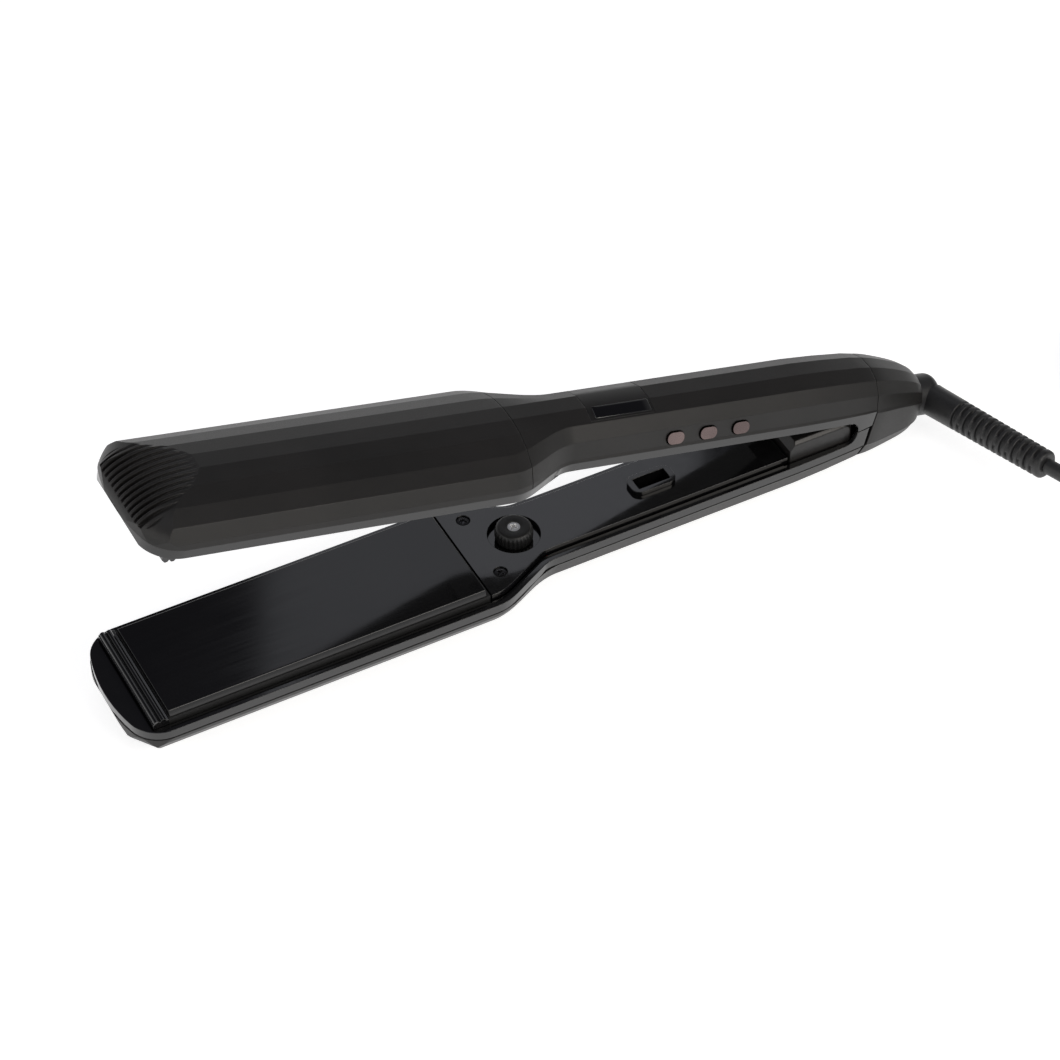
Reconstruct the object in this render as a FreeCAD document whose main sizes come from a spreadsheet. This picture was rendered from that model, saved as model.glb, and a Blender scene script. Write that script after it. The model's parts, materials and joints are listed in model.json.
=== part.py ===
import math
import os

import FreeCAD
import Part
import Sketcher

# A flat iron for hair: two long faceted arms on one hinge, heated plates at the tip, a display and
# three buttons on the upper handle, and a cord that leaves through a swivel at the rear.
# Lengths are in millimetres. Each arm is drawn closed and flat: x runs from the plate's tip end to the
# rear, z is the distance out from the plane where the plates meet. The arms are then put in place.

os.makedirs("parts", exist_ok=True)
doc = FreeCAD.newDocument("flat_iron")
Vec = FreeCAD.Vector
X_AXIS = Vec(1, 0, 0)
Y_AXIS = Vec(0, 1, 0)
Z_AXIS = Vec(0, 0, 1)

# ------------------------------------------------------------------ driving sizes

SIZES = {
    "hinge_x": "252",
    "open_angle": "14.28",
    "origin_x": "145",
    "closing_height": "19.7",
    "upper_shift_x": "=hinge_x - origin_x - hinge_x * cos(open_angle * 1deg)",
    "upper_shift_z": "=closing_height + hinge_x * sin(open_angle * 1deg)",
    "lower_shift_x": "=-origin_x",
    "head_half": "24.3",
    "handle_half": "14.4",
    "seam_height": "7.4",
    "rim_height": "4.2",
    "wall": "2.2",
    "nose_x": "-12.4",
    "neck_start": "112",
    "neck_end": "139",
    "cover_seam_x": "119",
    "cap_x": "257",
    "cap_end_x": "280",
    "plate_front": "1",
    "plate_rear": "110",
    "plate_half": "19.4",
    "plate_bevel": "1",
    "plate_face": "0.15",
    "plate_back": "2.3",
    "carrier_half": "20.6",
    "carrier_back": "8.4",
    "panel_face": "2",
    "panel_back": "4.4",
    "panel_front": "111.4",
    "upper_panel_rear": "222",
    "lower_panel_rear": "225.8",
    "screw_x": "118.6",
    "screw_y": "13",
    "knob_x": "130.2",
    "knob_radius": "6.25",
    "knob_recess": "8.6",
    "guide_x": "180.6",
    "guide_length": "11.6",
    "guide_width": "5",
    "button_x": "176.2",
    "button_pitch": "12.5",
    "button_length": "6.2",
    "button_height": "4",
    "button_gap": "0.3",
    "lens_front": "146",
    "lens_rear": "169.5",
    "block_half": "11.5",
    "block_front": "226.3",
    "block_rear": "250.5",
    "pin_radius": "1.5",
    "eye_radius": "4.2",
    "stub_radius": "7",
    "stub_rear": "290.2",
    "sleeve_x": "286.5",
    "sleeve_angle": "77.2",
    "sleeve_roll": "9.2",
    "sleeve_length": "55",
    "sleeve_radius": "5.5",
    "cord_radius": "2.6",
    "coil_radius": "32.3",
    "coil_half_width": "15.8",
    "coil_height": "10.4",
    "tie_thickness": "0.8",
}

sheet = doc.addObject("Spreadsheet::Sheet", "sizes")
for row, (alias, value) in enumerate(SIZES.items(), start=1):
    sheet.set("A%d" % row, alias)
    sheet.set("B%d" % row, value)
    sheet.setAlias("B%d" % row, alias)
doc.recompute()


def size(alias):
    """Value of one driving size, as a number."""
    return float(sheet.get(alias))


UPPER = FreeCAD.Placement(Vec(size("upper_shift_x"), 0, size("upper_shift_z")),
                          FreeCAD.Rotation(Y_AXIS, size("open_angle")))
LOWER = FreeCAD.Placement(Vec(size("lower_shift_x"), 0, size("closing_height")),
                          FreeCAD.Rotation(X_AXIS, 180))
pieces = []

# ------------------------------------------------------------------ helpers


def named(text):
    """Expression text with every driving size written as a reference to the sheet."""
    words = text.replace("(", " ( ").replace(")", " ) ").split()
    return " ".join("sizes." + word if word in SIZES else word for word in words)


def put_on_arm(thing, arm):
    """Hang an object on the upper or the lower arm; the placement follows the sheet."""
    thing.Placement = UPPER if arm == "upper" else LOWER
    if arm == "upper":
        thing.setExpression("Placement.Base.x", named("upper_shift_x"))
        thing.setExpression("Placement.Base.z", named("upper_shift_z"))
        thing.setExpression("Placement.Rotation.Angle", named("open_angle"))
    else:
        thing.setExpression("Placement.Base.x", named("lower_shift_x"))
        thing.setExpression("Placement.Base.z", named("closing_height"))


def new_body(name, arm=None):
    body = doc.addObject("PartDesign::Body", name)
    body.Label = name
    if arm:
        put_on_arm(body, arm)
    pieces.append(body)
    return body


def keep_shape(name, shape, placement=None):
    """A sub-part whose surfaces need lofts or shaped cuts."""
    piece = doc.addObject("Part::Feature", name)
    piece.Label = name
    piece.Shape = shape
    if placement:
        piece.Placement = placement
    pieces.append(piece)
    return piece


def box(body, x, y, z, cut=False):
    """Add or remove a block between two values on each axis, each value an expression."""
    kind = "PartDesign::SubtractiveBox" if cut else "PartDesign::AdditiveBox"
    block = body.newObject(kind, body.Name + "_block")
    for prop, axis, (start, end) in (("Length", "x", x), ("Width", "y", y), ("Height", "z", z)):
        block.setExpression("Placement.Base." + axis, named(start))
        block.setExpression(prop, named("( %s ) - ( %s )" % (end, start)))
    return block


def rod(body, start, length, radius, axis="z", cut=False, turn=None):
    """Add or remove a cylinder from a start point along an axis."""
    kind = "PartDesign::SubtractiveCylinder" if cut else "PartDesign::AdditiveCylinder"
    cylinder = body.newObject(kind, body.Name + "_rod")
    if turn is None:
        turn = {"x": FreeCAD.Rotation(Y_AXIS, 90), "y": FreeCAD.Rotation(X_AXIS, -90),
                "z": FreeCAD.Rotation()}[axis]
    cylinder.Placement = FreeCAD.Placement(Vec(), turn)
    for name, value in zip("xyz", start):
        cylinder.setExpression("Placement.Base." + name, named(value))
    cylinder.setExpression("Height", named(length))
    cylinder.setExpression("Radius", named(radius))
    return cylinder


def outline(body, plane, offset, corners):
    """A closed sketch of straight lines; every corner is held by two expressions."""
    sketch = body.newObject("Sketcher::SketchObject", body.Name + "_outline")
    origin_plane = [item for item in body.Origin.OriginFeatures if item.Role == plane][0]
    sketch.AttachmentSupport = [(origin_plane, "")]
    sketch.MapMode = "FlatFace"
    sketch.setExpression("AttachmentOffset.Base.z", named(offset))
    count = len(corners)
    start = [Vec(math.cos(2 * math.pi * i / count), math.sin(2 * math.pi * i / count), 0)
             for i in range(count)]
    for i in range(count):
        sketch.addGeometry(Part.LineSegment(start[i], start[(i + 1) % count]))
    for i in range(count):
        sketch.addConstraint(Sketcher.Constraint("Coincident", i, 2, (i + 1) % count, 1))
    for i, (across, up) in enumerate(corners):
        place = sketch.addConstraint(Sketcher.Constraint("DistanceX", -1, 1, i, 1, start[i].x + 2))
        sketch.setExpression("Constraints[%d]" % place, named(across))
        place = sketch.addConstraint(Sketcher.Constraint("DistanceY", -1, 1, i, 1, start[i].y + 2))
        sketch.setExpression("Constraints[%d]" % place, named(up))
    sketch.Visibility = False
    return sketch


def pad(body, sketch, length, both_ways=False, cut=False):
    kind = "PartDesign::Pocket" if cut else "PartDesign::Pad"
    feature = body.newObject(kind, body.Name + "_pad")
    feature.Profile = sketch
    feature.setExpression("Length", named(length))
    if both_ways:
        feature.Midplane = True
    return feature


def revolve(body, sketch, axis):
    feature = body.newObject("PartDesign::Revolution", body.Name + "_turned")
    feature.Profile = sketch
    origin_axis = [item for item in body.Origin.OriginFeatures if item.Role == axis][0]
    feature.ReferenceAxis = (origin_axis, [""])
    feature.Angle = 360
    return feature


def soften(body, feature, radius, wanted, kind="PartDesign::Fillet"):
    """Round or chamfer the edges of a feature that the test picks."""
    doc.recompute()
    names = ["Edge%d" % (i + 1) for i, edge in enumerate(feature.Shape.Edges) if wanted(edge)]
    softened = body.newObject(kind, body.Name + "_edges")
    softened.Base = (feature, names)
    prop = "Radius" if kind.endswith("Fillet") else "Size"
    softened.setExpression(prop, named(radius))
    return softened


def runs_along(edge, axis):
    """True for a straight edge parallel to an axis."""
    if len(edge.Vertexes) != 2:
        return False
    step = edge.Vertexes[1].Point - edge.Vertexes[0].Point
    return step.Length > 0 and abs(abs(step.normalize().dot(axis)) - 1) < 1e-6


def slab(points, along, depth):
    """A polygon pushed along a direction."""
    return Part.Face(Part.makePolygon(points + [points[0]])).extrude(along * depth)


# ------------------------------------------------------------------ outer form of an arm

# Facet corners (half width, height) from the side seam to the flat top.
HEAD_CORNERS = [(24.3, 7.4), (23.8, 9.2), (21.0, 13.5), (15.8, 16.5), (9.6, 18.7), (3.15, 19.7)]
HANDLE_CORNERS = [(14.4, 7.4), (13.8, 8.3), (12.0, 13.6), (8.4, 17.6), (5.7, 18.65), (3.1, 19.7)]
# Stations behind the grip, with the share of the handle's width and height left there.
TAPER = [(228, 1.0, 1.0), (240, 0.98, 0.98), (252, 0.942, 0.942), (257, 0.905, 0.905),
         (264, 0.84, 0.83), (271, 0.745, 0.72), (277, 0.645, 0.585), (280, 0.54, 0.47)]
# Side view of the tip: where the top curves down to the nose.
RAMP = [(-12.0, 7.4), (-11.5, 9.4), (-9.4, 12.6), (-4.5, 16.0), (3.0, 18.4), (13.0, 19.75)]
NOSE_RADIUS = 60
CORNER_RADIUS = 11.5


def neck_blend(x):
    """0 on the head, 1 on the handle, with a smooth change between."""
    share = (x - size("neck_start")) / (size("neck_end") - size("neck_start"))
    share = min(1.0, max(0.0, share))
    return share * share * (3 - 2 * share)


def taper(x):
    if x <= TAPER[0][0]:
        return 1.0, 1.0
    for (x0, wide0, high0), (x1, wide1, high1) in zip(TAPER, TAPER[1:]):
        if x <= x1:
            share = (x - x0) / (x1 - x0)
            return wide0 + (wide1 - wide0) * share, high0 + (high1 - high0) * share
    return TAPER[-1][1:]


def half_width(x):
    blend = neck_blend(x)
    return (size("head_half") * (1 - blend) + size("handle_half") * blend) * taper(x)[0]


def facet_corners(x):
    blend = neck_blend(x)
    wide, high = taper(x)
    return [((a[0] * (1 - blend) + b[0] * blend) * wide, (a[1] * (1 - blend) + b[1] * blend) * high)
            for a, b in zip(HEAD_CORNERS, HANDLE_CORNERS)]


def inset(points, depth):
    """A convex polygon moved inward by a depth (points run anticlockwise)."""
    moved = []
    count = len(points)
    for i in range(count):
        before, here, after = points[i - 1], points[i], points[(i + 1) % count]
        first = (here[0] - before[0], here[1] - before[1])
        second = (after[0] - here[0], after[1] - here[1])
        first_length = math.hypot(*first)
        second_length = math.hypot(*second)
        first_in = (-first[1] / first_length, first[0] / first_length)
        second_in = (-second[1] / second_length, second[0] / second_length)
        spread = 1 + first_in[0] * second_in[0] + first_in[1] * second_in[1]
        moved.append((here[0] + depth * (first_in[0] + second_in[0]) / spread,
                      here[1] + depth * (first_in[1] + second_in[1]) / spread))
    return moved


def cover_section(x, depth):
    """Closed outline across a cover at x, moved inward by a depth; hollows reach past the seam."""
    corners = facet_corners(x)
    base = size("seam_height") if depth == 0 else 0.0
    right = [(corners[0][0], base)] + corners[1:]
    if depth:
        right = [(corners[0][0], base)] + corners
    left = [(-y, z) for y, z in reversed(right)]
    points = inset(right + left, depth) if depth else right + left
    return Part.makePolygon([Vec(x, y, z) for y, z in points + [points[0]]])


def ring_section(x, depth):
    """Closed outline all round the rear cap at x."""
    right = [(y, z) for y, z in facet_corners(x)]
    under = [(y, -z) for y, z in reversed(right)]
    points = under + right
    points = points + [(-y, z) for y, z in reversed(points)]
    points = inset(points, depth) if depth else points
    return Part.makePolygon([Vec(x, y, z) for y, z in points + [points[0]]])


def plan_shape(depth, rear, low, high):
    """Outline of an arm seen from above, moved inward by a depth, as a block between two heights."""
    wide = size("head_half") - depth
    corner = CORNER_RADIUS - depth
    nose = NOSE_RADIUS - depth
    nose_centre = size("nose_x") + NOSE_RADIUS
    reach = nose - corner
    corner_x = nose_centre - math.sqrt(reach ** 2 - (wide - corner) ** 2)
    lean = math.atan2(wide - corner, nose_centre - corner_x)
    tip = Vec(nose_centre - nose, 0, low)
    nose_side = Vec(nose_centre - nose * math.cos(lean), nose * math.sin(lean), low)
    nose_mid = Vec(nose_centre - nose * math.cos(lean / 2), nose * math.sin(lean / 2), low)
    turn = (math.pi / 2 + lean) / 2
    corner_mid = Vec(corner_x - corner * math.cos(turn), wide - corner + corner * math.sin(turn), low)
    edges = [Part.Arc(tip, nose_mid, nose_side).toShape(),
             Part.Arc(nose_side, corner_mid, Vec(corner_x, wide, low)).toShape(),
             Part.makeLine(Vec(corner_x, wide, low), Vec(size("neck_start"), wide, low))]
    steps = 4
    span = size("neck_end") - size("neck_start")
    stations = [size("neck_start") + span * i / steps for i in range(steps + 1)]
    neck = Part.BSplineCurve()
    neck.interpolate([Vec(x, half_width(x) - depth, low) for x in stations],
                     InitialTangent=X_AXIS, FinalTangent=X_AXIS)
    edges.append(neck.toShape())
    last = Vec(size("neck_end"), half_width(size("neck_end")) - depth, low)
    for x in [station for station, _, _ in TAPER if station < rear] + [rear]:
        point = Vec(x, half_width(x) - depth, low)
        edges.append(Part.makeLine(last, point))
        last = point
    edges.append(Part.makeLine(last, Vec(rear, 0, low)))
    half = Part.Wire(edges)
    other = half.mirror(Vec(), Y_AXIS)
    wire = Part.Wire(Part.__sortEdges__(half.Edges + other.Edges))
    return Part.Face(wire).extrude(Vec(0, 0, high - low))


def ramp_shape(depth):
    """Everything under the curved top of the tip."""
    points = [Vec(x + depth, -300, z - depth * 0.8) for x, z in RAMP]
    curve = Part.BSplineCurve()
    curve.interpolate(points)
    top = [points[-1], Vec(400, -300, points[-1].z), Vec(400, -300, -2), Vec(points[0].x, -300, -2), points[0]]
    edges = [curve.toShape()] + [Part.makeLine(a, b) for a, b in zip(top, top[1:])]
    return Part.Face(Part.Wire(edges)).extrude(Vec(0, 600, 0))


CORNER_TURN = 35


def corner_ramp(depth, side):
    """The same curved top turned to face one corner of the tip."""
    turn = math.radians(CORNER_TURN)
    across = size("head_half") - CORNER_RADIUS
    nose_centre = size("nose_x") + NOSE_RADIUS
    middle_x = nose_centre - math.sqrt((NOSE_RADIUS - CORNER_RADIUS) ** 2 - across ** 2)
    reach = CORNER_RADIUS - middle_x * math.cos(turn) + across * math.sin(turn)
    out = Vec(-math.cos(turn), side * math.sin(turn), 0)
    ramp = ramp_shape(depth)
    ramp.rotate(Vec(), Z_AXIS, -side * CORNER_TURN)
    ramp.translate(out * (reach + RAMP[0][0]))
    return ramp


def arm_form(depth):
    """The solid form of one cover from nose to cap, moved inward by a depth."""
    start, end = size("neck_start"), size("neck_end")
    head = Part.makeLoft([cover_section(-16, depth), cover_section(start, depth)], True, True)
    head = head.common(plan_shape(depth, 200, -1, 30)).common(ramp_shape(depth))
    for side in (-1, 1):
        head = head.common(corner_ramp(depth, side))
    neck = Part.makeLoft([cover_section(start + (end - start) * i / 4, depth) for i in range(5)], True, False)
    grip = Part.makeLoft([cover_section(end, depth), cover_section(TAPER[0][0], depth)], True, True)
    rear = Part.makeLoft([cover_section(x, depth) for x, _, _ in TAPER[:4]], True, True)
    return head.multiFuse([neck, grip, rear])


def between(front, rear):
    """A large block between two x values."""
    return Part.makeBox(rear - front, 80, 60, Vec(front, -40, -30))


COMB_DEPTH = 1.6
COMB_FOOT = Vec(-10.0, 0, 10.4)
COMB_PITCH = 2.4
COMB_WIDTH = 1.35
COMB_SLOTS = 15


def comb_grooves():
    """Slots that follow the curved tip, deep at its edge and fading out on top."""
    floor = [COMB_FOOT]
    for k in range(2, len(RAMP) - 1):
        here = Vec(RAMP[k][0], 0, RAMP[k][1])
        along = Vec(RAMP[k + 1][0] - RAMP[k - 1][0], 0, RAMP[k + 1][1] - RAMP[k - 1][1]).normalize()
        depth = COMB_DEPTH * (RAMP[-1][0] - here.x) / (RAMP[-1][0] - RAMP[1][0])
        floor.append(here + Vec(along.z, 0, -along.x) * depth)
    floor.append(Vec(RAMP[-1][0], 0, RAMP[-1][1] + 0.05))
    curve = Part.BSplineCurve()
    curve.interpolate(floor)
    over = [floor[-1], Vec(floor[-1].x, 0, 30), Vec(-14, 0, 30), Vec(-14, 0, COMB_FOOT.z), COMB_FOOT]
    edges = [curve.toShape()] + [Part.makeLine(p, q) for p, q in zip(over, over[1:])]
    profile = Part.Face(Part.Wire(edges))
    grooves = []
    for i in range(COMB_SLOTS):
        side = profile.copy()
        side.translate(Vec(0, (i - (COMB_SLOTS - 1) / 2) * COMB_PITCH - COMB_WIDTH / 2, 0))
        grooves.append(side.extrude(Vec(0, COMB_WIDTH, 0)))
    return grooves


outer_form = arm_form(0)
inner_form = arm_form(size("wall"))
arm_shell = outer_form.cut(inner_form)

# ------------------------------------------------------------------ covers

GAP = 0.2
head_cover = arm_shell.common(between(-30, size("cover_seam_x") - GAP / 2)).cut(comb_grooves())
handle_cover = arm_shell.common(between(size("cover_seam_x") + GAP / 2, size("cap_x") - GAP))

BUTTON_TURN = FreeCAD.Rotation(X_AXIS, 71.2)
BUTTON_FACE = Vec(0, -13.09, 10.4)


def button_place(index):
    return FreeCAD.Placement(BUTTON_FACE + Vec(size("button_x") + index * size("button_pitch"), 0, 0),
                             BUTTON_TURN)


def oblong(length, height, low, high):
    """A block with round ends, long side along x, centred on the origin."""
    radius = height / 2
    middle = Part.makeBox(length - height, height, high - low, Vec(-length / 2 + radius, -radius, low))
    ends = [Part.makeCylinder(radius, high - low, Vec(side * (length / 2 - radius), 0, low))
            for side in (-1, 1)]
    return middle.multiFuse(ends).removeSplitter()


def window(grow):
    """Block that marks out the display lens, larger by a clearance on each side."""
    front, rear = size("lens_front") - grow, size("lens_rear") + grow
    return Part.makeBox(rear - front, 16.2 + 2 * grow, 12, Vec(front, -7.8 - grow, 12))


LENS_DEPTH = 1.6
lens = outer_form.common(window(0)).cut(arm_form(LENS_DEPTH))
upper_handle = handle_cover.cut(window(0.1))
for index in range(3):
    gap = 2 * size("button_gap")
    hole = oblong(size("button_length") + gap, size("button_height") + gap, -4, 2)
    hole.Placement = button_place(index)
    upper_handle = upper_handle.cut(hole)

rear_cut = slab([Vec(256, -40, 0), Vec(300, -40, 0), Vec(300, -40, 40),
                 Vec(256 - 40 * math.tan(math.radians(size("open_angle"))), -40, 40)], Y_AXIS, 80)
lower_handle = handle_cover.cut(rear_cut)

keep_shape("upper_head_cover", head_cover, UPPER)
keep_shape("upper_handle_cover", upper_handle, UPPER)
keep_shape("display_lens", lens, UPPER)
keep_shape("lower_head_cover", head_cover, LOWER)
keep_shape("lower_handle_cover", lower_handle, LOWER)

# ------------------------------------------------------------------ gloss frames and inner panels

FRAME_INSET = 0.2
RIM_WIDTH = 2.9
PANEL_INSET = 3.4
TIP_BAR_FRONT = -4.9


def rim_cutter(arm):
    """Everything on the plate's side of the rim line, with its round end behind the grip."""
    rim = size("rim_height")
    centre = 251 - rim
    rise = math.tan(math.radians(size("open_angle")))
    edge = 0.25 if arm == "upper" else 0.1
    slope = rise if arm == "upper" else 0.0
    flat = slab([Vec(-30, -40, -5), Vec(centre, -40, -5), Vec(centre, -40, rim), Vec(-30, -40, rim)],
                Y_AXIS, 80)
    end = Part.makeCylinder(rim, 80, Vec(centre, -40, 0), Y_AXIS)
    hinge = size("hinge_x")
    behind = slab([Vec(centre, -40, -5), Vec(262, -40, -5), Vec(262, -40, edge + (262 - hinge) * slope),
                   Vec(hinge, -40, edge), Vec(centre, -40, edge)], Y_AXIS, 80)
    return flat.fuse([end, behind])


def frame_shape(arm):
    rear = size("cap_x") - GAP
    band = plan_shape(FRAME_INSET, rear, -1, size("seam_height"))
    opening = plan_shape(RIM_WIDTH, rear + 5, -2, 10).common(between(TIP_BAR_FRONT - 0.2, 270))
    opening = opening.fuse(Part.makeBox(12, 42.8, 12, Vec(TIP_BAR_FRONT - 0.2, -21.4, -2)))
    hinge_room = Part.makeBox(50, 23.8, 20, Vec(224, -11.9, -5))
    shape = band.cut(opening).cut(hinge_room).cut(rim_cutter(arm))
    if arm == "lower":
        return shape.cut(rear_cut)
    undercut = slab([Vec(-20, -40, -2), Vec(-10.2, -40, -2), Vec(-10.2, -40, 4.2), Vec(-12.2, -40, 7.5),
                     Vec(-20, -40, 7.5)], Y_AXIS, 80)
    return shape.cut(undercut)


def panel_shape(rear):
    plate = plan_shape(PANEL_INSET, rear, size("panel_face"), size("panel_back"))
    plate = plate.common(between(size("panel_front"), rear))
    for side in (-1, 1):
        spot = Vec(size("screw_x"), side * size("screw_y"), 0)
        plate = plate.cut(Part.makeCylinder(2.3, size("panel_face") + 1.4, spot))
        plate = plate.cut(Part.makeCylinder(1.2, 10, spot))
    return plate


def guide_hole(length, width):
    return Part.makeBox(length, width, 20, Vec(size("guide_x") - length / 2, -width / 2, -5))


lower_panel = panel_shape(size("lower_panel_rear"))
lower_panel = lower_panel.cut(Part.makeCylinder(size("knob_recess"), 20, Vec(size("knob_x"), 0, -5)))
lower_panel = lower_panel.cut(guide_hole(size("guide_length") + 1.6, size("guide_width") + 1.6))
upper_panel = panel_shape(size("upper_panel_rear")).cut(guide_hole(8, 3))

keep_shape("upper_frame", frame_shape("upper"), UPPER)
keep_shape("lower_frame", frame_shape("lower"), LOWER)
keep_shape("upper_panel", upper_panel, UPPER)
keep_shape("lower_panel", lower_panel, LOWER)

# ------------------------------------------------------------------ heated heads, the same on both arms

for arm in ("upper", "lower"):
    bar = new_body(arm + "_tip_bar", arm)
    box(bar, ("-4.9", "0.4"), ("-21.2", "21.2"), ("1.9", "seam_height"))
    rod(bar, ("-3.6", "-21.2", "2"), "42.4", "0.95", "y")
    rod(bar, ("-1.4", "-21.2", "2"), "42.4", "0.95", "y")

    plate = new_body(arm + "_plate", arm)
    plate_outline = outline(plate, "YZ_Plane", "plate_front",
                            [("- plate_half", "plate_face"), ("plate_half", "plate_face"),
                             ("plate_half + plate_bevel", "plate_back"),
                             ("- plate_half - plate_bevel", "plate_back")])
    pad(plate, plate_outline, "plate_rear - plate_front")

    carrier = new_body(arm + "_plate_carrier", arm)
    box(carrier, ("0.6", "111"), ("- carrier_half", "carrier_half"),
        ("plate_back", "carrier_back"))
    box(carrier, ("2.6", "109"), ("2 - carrier_half", "carrier_half - 2"),
        ("plate_back - 1", "carrier_back - 1.6"), cut=True)

    heater = new_body(arm + "_heater", arm)
    box(heater, ("14", "96"), ("-7", "7"), ("plate_back", "plate_back + 3"))

    cushions = new_body(arm + "_cushion_front", arm)
    box(cushions, ("14", "34"), ("-8", "8"), ("carrier_back", "16.2"))
    cushions = new_body(arm + "_cushion_rear", arm)
    box(cushions, ("78", "98"), ("-8", "8"), ("carrier_back", "16.2"))

    screws = new_body(arm + "_panel_screws", arm)
    for side in ("", "- "):
        rod(screws, ("screw_x", side + "screw_y", "panel_face + 0.5"), "0.9", "2.1")
        rod(screws, ("screw_x", side + "screw_y", "panel_face + 1"), "6", "1.2")
        if side == "":
            box(screws, ("screw_x - 1.1", "screw_x + 1.1"), ("- screw_y", "screw_y"), ("7.2", "8"))

    leads = new_body(arm + "_heater_leads", arm)
    rod(leads, ("109.5", "-4", "9.8"), "28", "1.1", "x")
    rod(leads, ("109.5", "4", "9.8"), "28", "1.1", "x")
    box(leads, ("136.5", "139.5"), ("-6", "6"), ("8.6", "11"))

fuse = new_body("thermal_fuse", "upper")
rod(fuse, ("56", "13", "plate_back + 1.9"), "12", "1.8", "x")
rod(fuse, ("48", "13", "plate_back + 1.9"), "28", "0.5", "x")

sensor = new_body("temperature_sensor", "upper")
box(sensor, ("50", "57"), ("-14", "-10"), ("plate_back", "plate_back + 2"))

# ------------------------------------------------------------------ guide peg and socket

peg = new_body("guide_peg", "upper")
box(peg, ("guide_x - 4", "guide_x + 4"), ("-1.5", "1.5"), ("-5", "panel_back"))
box(peg, ("guide_x - 6", "guide_x + 6"), ("-3.5", "3.5"), ("panel_back", "panel_back + 1.2"))

socket = new_body("guide_socket", "lower")
collar = box(socket, ("guide_x - 8", "guide_x + 8"), ("-4.25", "4.25"), ("0.3", "panel_face"))
collar = soften(socket, collar, "3.2", lambda edge: runs_along(edge, Z_AXIS))
box(socket, ("guide_x - guide_length / 2 - 0.8", "guide_x + guide_length / 2 + 0.8"),
    ("- guide_width / 2 - 0.8", "guide_width / 2 + 0.8"), ("panel_face - 0.2", "9"))
box(socket, ("guide_x - guide_length / 2", "guide_x + guide_length / 2"),
    ("- guide_width / 2", "guide_width / 2"), ("-1", "8"), cut=True)

# ------------------------------------------------------------------ knob on the lower neck

seat = new_body("knob_seat", "lower")
rod(seat, ("knob_x", "0", "4"), "1.6", "knob_recess - 0.1")
rod(seat, ("knob_x", "0", "3"), "4", "2.08", cut=True)

knob = new_body("gap_knob", "lower")
rod(knob, ("knob_x", "0", "-1"), "4.7", "knob_radius")
rod(knob, ("knob_x", "0", "-1.5"), "1", "knob_radius - 0.9")
rod(knob, ("knob_x", "0", "3"), "4.6", "2")
rod(knob, ("knob_x", "0", "5.95"), "1.4", "3.4")
box(knob, ("knob_x + 3.6", "knob_x + 7.2"), ("2.6", "4.2"), ("1", "3.7"))
rod(knob, ("knob_x", "0", "-2"), "1.2", "2.1", cut=True)
rod(knob, ("knob_x", "0", "-2"), "7", "1", cut=True)

knob_screw = new_body("knob_screw", "lower")
rod(knob_screw, ("knob_x", "0", "-1.45"), "0.65", "1.9")
rod(knob_screw, ("knob_x", "0", "-1"), "5.5", "1")

# ------------------------------------------------------------------ display, boards and buttons

display = new_body("display_module", "upper")
box(display, ("148", "168.5"), ("-6", "6"), ("13", "15.4"))
box(display, ("150", "166"), ("-4", "4"), ("10.2", "13.2"))

board = new_body("main_circuit_board", "upper")
box(board, ("142", "214"), ("-3", "10"), ("8.6", "10.2"))
box(board, ("176", "190"), ("0", "8"), ("10", "12.5"))
box(board, ("196", "208"), ("1", "9"), ("10", "13.5"))

button_board = new_body("button_board")
box(button_board, ("-5", "2 * button_pitch + 5"), ("-2.6", "2.6"), ("-7.6", "-6.4"))
button_board.Placement = UPPER.multiply(button_place(0))

for index in range(3):
    place = UPPER.multiply(button_place(index))

    switch = new_body("button_switch_%d" % (index + 1))
    box(switch, ("-2", "2"), ("-1.6", "1.6"), ("-6.4", "-4.5"))
    switch.Placement = place

    button = new_body("button_%d" % (index + 1))
    stem = box(button, ("- button_length / 2", "button_length / 2"),
               ("- button_height / 2", "button_height / 2"), ("-2.7", "0.7"))
    stem = soften(button, stem, "1.9", lambda edge: runs_along(edge, Z_AXIS))
    box(button, ("-4.3", "4.3"), ("-1.7", "1.7"), ("-3.5", "-2.6"))
    button.Placement = place

# ------------------------------------------------------------------ hinge

block = new_body("hinge_block", "lower")
block_outline = outline(block, "XZ_Plane", "- block_half",
                        [("block_front", "4.8"), ("block_front", "-0.6"), ("block_front + 2.2", "-3.8"),
                         ("block_rear", "-3.8"), ("block_rear", "4.8")])
block_pad = pad(block, block_outline, "2 * block_half")
doc.recompute()


def rear_top(edge):
    middle = edge.CenterOfMass
    return runs_along(edge, Y_AXIS) and middle.x > size("block_rear") - 0.1 and middle.z < 0


def top_sides(edge):
    middle = edge.CenterOfMass
    return runs_along(edge, X_AXIS) and middle.z < -3.7 and middle.x < size("block_rear") - 1


block_round = soften(block, block_pad, "3.7", rear_top)
soften(block, block_round, "1.2", top_sides, "PartDesign::Chamfer")
box(block, ("block_front", "246.5"), ("-8.5", "8.5"), ("4.7", "10"))
box(block, ("246.5", "252"), ("1.2 - block_half", "block_half - 1.2"), ("-6", "12"), cut=True)
box(block, ("236", "247"), ("-3.75", "3.75"), ("-2.5", "5"), cut=True)

tongue = new_body("hinge_tongue", "lower")
box(tongue, ("236", "hinge_x"), ("-3.7", "3.7"), ("-2.5", "5"))
box(tongue, ("246.6", "hinge_x"), ("-4", "4"), ("-6", "- eye_radius"), cut=True)
rod(tongue, ("hinge_x", "-3.7", "0"), "7.4", "eye_radius", "y")
rod(tongue, ("hinge_x", "-5", "0"), "10", "2.4", "y", cut=True)

bushing = new_body("hinge_bushing", "lower")
rod(bushing, ("hinge_x", "-3.7", "0"), "7.4", "2.4", "y")
rod(bushing, ("hinge_x", "-5", "0"), "10", "pin_radius + 0.05", "y", cut=True)

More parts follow.
